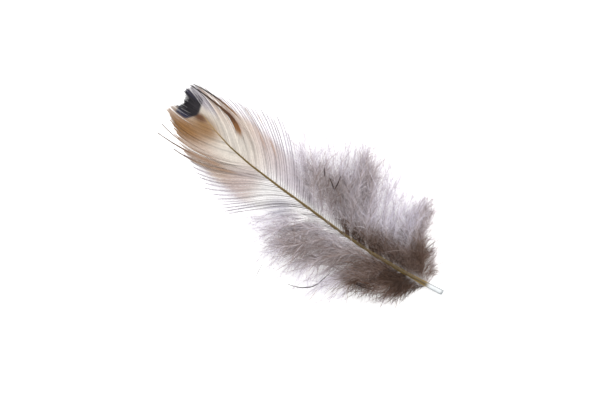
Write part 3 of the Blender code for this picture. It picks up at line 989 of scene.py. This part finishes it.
def make_shaft():
    """The quill, open at its cut end, and the shaft, as one closed skin."""
    outer = np.linspace(*SHAFT_SPAN, SHAFT_RINGS)
    places = np.concatenate([[row[0] for row in QUILL_HOLE], outer])
    radii = np.concatenate([[row[1] for row in QUILL_HOLE], np.interp(outer, SHAFT_X, SHAFT_RADIUS)])
    radii[-2:] *= SHAFT_CLOSING
    hole_shade = (np.arange(len(places)) < len(QUILL_HOLE) - 2).astype(float)
    centres = shaft_centre(np.minimum(places, SHAFT_X[-1]))
    centres[:, 0] = places
    tangents = unit(shaft_centre(places + SHAFT_STEP) - shaft_centre(places - SHAFT_STEP))
    turns = ring_turns(SHAFT_SIDES)
    points = centres[:, None] + tube_rings(tangents, turns, SHAFT_FLATNESS) * radii[:, None, None]
    walls = tube_walls(np.arange(len(places) - 1)[:, None] * SHAFT_SIDES, SHAFT_SIDES)
    corner = np.arange(SHAFT_SIDES)[None]
    last = (corner + (len(places) - 1) * SHAFT_SIDES)[:, ::-1]
    level = places[:, None] + 0.0 * turns
    pigments = shaft_colour(level, np.sin(turns)[None] + 0.0 * level, hole_shade[:, None] + 0.0 * level)
    span = np.linspace(0.01, 0.99, len(places))[:, None] + 0.0 * turns
    maps = np.stack([span, 0.02 + 0.96 * corner / SHAFT_SIDES + 0.0 * span], -1)
    fibres = Fibres()
    fibres.add(points, [walls, corner, last], pigments, maps)
    fibres.make("shaft", fibre_material("keratin", SHAFT_ROUGHNESS))


# Single loose fibres: points in plan and height from end to end, radius and colour.
LOOSE_FIBRES = (
    (((30.3, -6.9, 7.0), (29.9, -5.4, 7.2), (29.7, -3.9, 6.6)), 0.12, UMBER),
    (((31.9, -5.3, 7.0), (30.8, -4.6, 7.0), (29.6, -3.8, 6.6)), 0.12, UMBER),
    (((33.9, -6.3, 6.6), (33.3, -5.5, 6.8), (32.6, -4.8, 6.4)), 0.11, UMBER),
    (((26.4, 16.7, 3.4), (25.1, 16.4, 3.6), (23.5, 15.6, 3.9), (22.0, 14.3, 4.2), (21.4, 13.0, 4.4),
      (21.0, 11.2, 4.6), (20.7, 10.0, 4.2)), 0.11, UMBER),
    (((17.2, 9.2, 4.9), (15.6, 8.7, 5.3), (13.6, 8.3, 5.3), (11.6, 7.5, 4.7)), 0.16, UMBER),
    (((16.2, 8.6, 5.0), (14.4, 8.1, 5.4), (12.6, 7.6, 4.9)), 0.14, UMBER),
    (((16.8, 8.2, 4.9), (14.8, 7.7, 5.4), (12.9, 7.0, 4.9)), 0.12, DARK_CHESTNUT),
    (((18.3, 10.2, 3.2), (18.5, 11.6, 3.2), (18.7, 12.8, 3.1)), 0.05, DARK_CHESTNUT),
    (((20.8, 13.8, 2.4), (20.8, 16.0, 2.3), (20.9, 18.1, 2.2)), 0.04, OLIVE_BROWN),
    (((32.6, 16.4, 1.0), (32.4, 18.3, 0.8), (32.1, 20.0, 0.6)), 0.05, RAMUS_GREY),
)
# Steps along them, and how thin their ends are.
LOOSE_STEPS = 16
LOOSE_ENDS = 0.35


def make_loose_fibres(material):
    """Single fibres that lie over the down."""
    fibres = Fibres()
    for number, (points, radius, colour) in enumerate(LOOSE_FIBRES):
        points = np.array(points)
        spots = np.linspace(0.0, len(points) - 1.0, LOOSE_STEPS)
        path = np.stack([np.interp(spots, np.arange(len(points)), points[:, axis]) for axis in range(3)], -1)
        shares = np.linspace(0.0, 1.0, LOOSE_STEPS)
        radii = radius * (LOOSE_ENDS + (1.0 - LOOSE_ENDS) * np.sin(np.pi * shares))
        pigments = colour + 0.0 * path
        maps = map_places(np.full((1, 1), number), len(LOOSE_FIBRES), shares[None], 0.0)
        fibres.add_tubes(path[None], radii[None], pigments[None], maps)
    fibres.make("loose_fibres", material)


def make_piece(name, sets, material):
    """One piece of several sets of barbs, each with its stems and barbules."""
    fibres = Fibres()
    for barbs in sets:
        add_rami(fibres, barbs)
        add_barbules(fibres, barbs)
    fibres.make(name, material)


# The table: how far it reaches from the middle, in metres, and how it looks.
TABLE_REACH = 1.5
TABLE_LOOKS = {
    "Base Color": (0.92, 0.92, 0.92, 1.0),
    "Roughness": 0.9,
    "Emission Color": (1.0, 1.0, 1.0, 1.0),
    "Emission Strength": 0.35,
}


def make_floor():
    """The white table."""
    mesh = bpy.data.meshes.new("table")
    corners = ((-1, -1), (1, -1), (1, 1), (-1, 1))
    mesh.from_pydata([(x * TABLE_REACH, y * TABLE_REACH, 0.0) for x, y in corners], [], [(0, 1, 2, 3)])
    mesh.materials.append(plain_material("table_white", TABLE_LOOKS))
    floor = bpy.data.objects.new("table", mesh)
    bpy.context.scene.collection.objects.link(floor)


# The photograph: its size in pixels, and what a pixel is on the feather.
PHOTO_WIDTH = 612
PIXEL = 0.2
VIEW_CENTRE = (32.6, 1.64)
VIEW_RIGHT = (-0.81, -0.586, 0.0)
LENS = 100.0
SENSOR = 36.0
FOCUS_HEIGHT = 1.5


def make_camera():
    """A long lens straight above, turned so that the quill points to the lower right."""
    data = bpy.data.cameras.new("camera")
    data.lens = LENS
    data.sensor_width = SENSOR
    data.clip_start = 0.01
    camera = bpy.data.objects.new("camera", data)
    bpy.context.scene.collection.objects.link(camera)
    right = unit(np.array(VIEW_RIGHT))
    back = np.array((0.0, 0.0, 1.0))
    up = np.cross(back, right)
    distance = PHOTO_WIDTH * PIXEL * LENS / SENSOR
    place = np.array((*VIEW_CENTRE, FOCUS_HEIGHT + distance)) + ORIGIN
    matrix = np.eye(4)
    matrix[:3] = np.stack([right, up, back, place * MM], -1)
    camera.matrix_world = Matrix(matrix)
    bpy.context.scene.camera = camera


# The light from all round, and the soft light: its strength, how broad it is, and its turns.
ROOM_LIGHT = {"Color": (1.0, 1.0, 1.0, 1.0), "Strength": 1.0}
SOFT_LIGHT = 1.6
SOFT_LIGHT_BREADTH = 35.0
SOFT_LIGHT_TURNS = (38.0, -20.0, 0.0)


def make_light():
    """Even white light from all round, and a broad soft light from one side."""
    world = bpy.data.worlds.new("studio")
    world.use_nodes = True
    set_inputs(world.node_tree.nodes["Background"], ROOM_LIGHT)
    bpy.context.scene.world = world
    data = bpy.data.lights.new("soft_light", "SUN")
    data.energy = SOFT_LIGHT
    data.angle = np.radians(SOFT_LIGHT_BREADTH)
    light = bpy.data.objects.new("soft_light", data)
    light.rotation_euler = np.radians(SOFT_LIGHT_TURNS)
    bpy.context.scene.collection.objects.link(light)


# The stretches of barbs: name, side, from and to along the shaft, and the seed of its draws.
DOWN_STRETCHES = (
    ("down_right_lower", RIGHT, 3.4, 18.0, 11),
    ("down_right_upper", RIGHT, 18.0, 34.0, 12),
    ("down_left_lower", LEFT, 3.4, 18.0, 13),
    ("down_left_upper", LEFT, 18.0, 33.0, 14),
)
WEB_STRETCHES = (
    ("web_right", RIGHT, 34.0, 61.0, 15),
    ("web_left", LEFT, 33.0, 61.0, 16),
)


def main():
    """Build the scene."""
    web = fibre_material("web_keratin", WEB_ROUGHNESS)
    down = fibre_material("down_keratin", DOWN_ROUGHNESS)
    make_shaft()
    for name, side, start, end, seed in DOWN_STRETCHES:
        make_piece(name, [make_barbs(side, growth_roots(side, start, end), seed)], down)
    for name, side, start, end, seed in WEB_STRETCHES:
        make_piece(name, [make_barbs(side, growth_roots(side, start, end), seed)], web)
    make_piece("tip_fan", [make_tip_fan()], web)
    make_piece("streaks", [make_streak(number, *row) for number, row in enumerate(STREAKS)], web)
    make_piece("plumes", [make_plume(number, *row) for number, row in enumerate(PLUMES)], down)
    make_piece("tufts", [make_tuft(number, *row) for number, row in enumerate(TUFTS)], down)
    make_loose_fibres(down)
    make_floor()
    make_camera()
    make_light()
    bpy.context.scene.view_settings.view_transform = "Standard"


main()
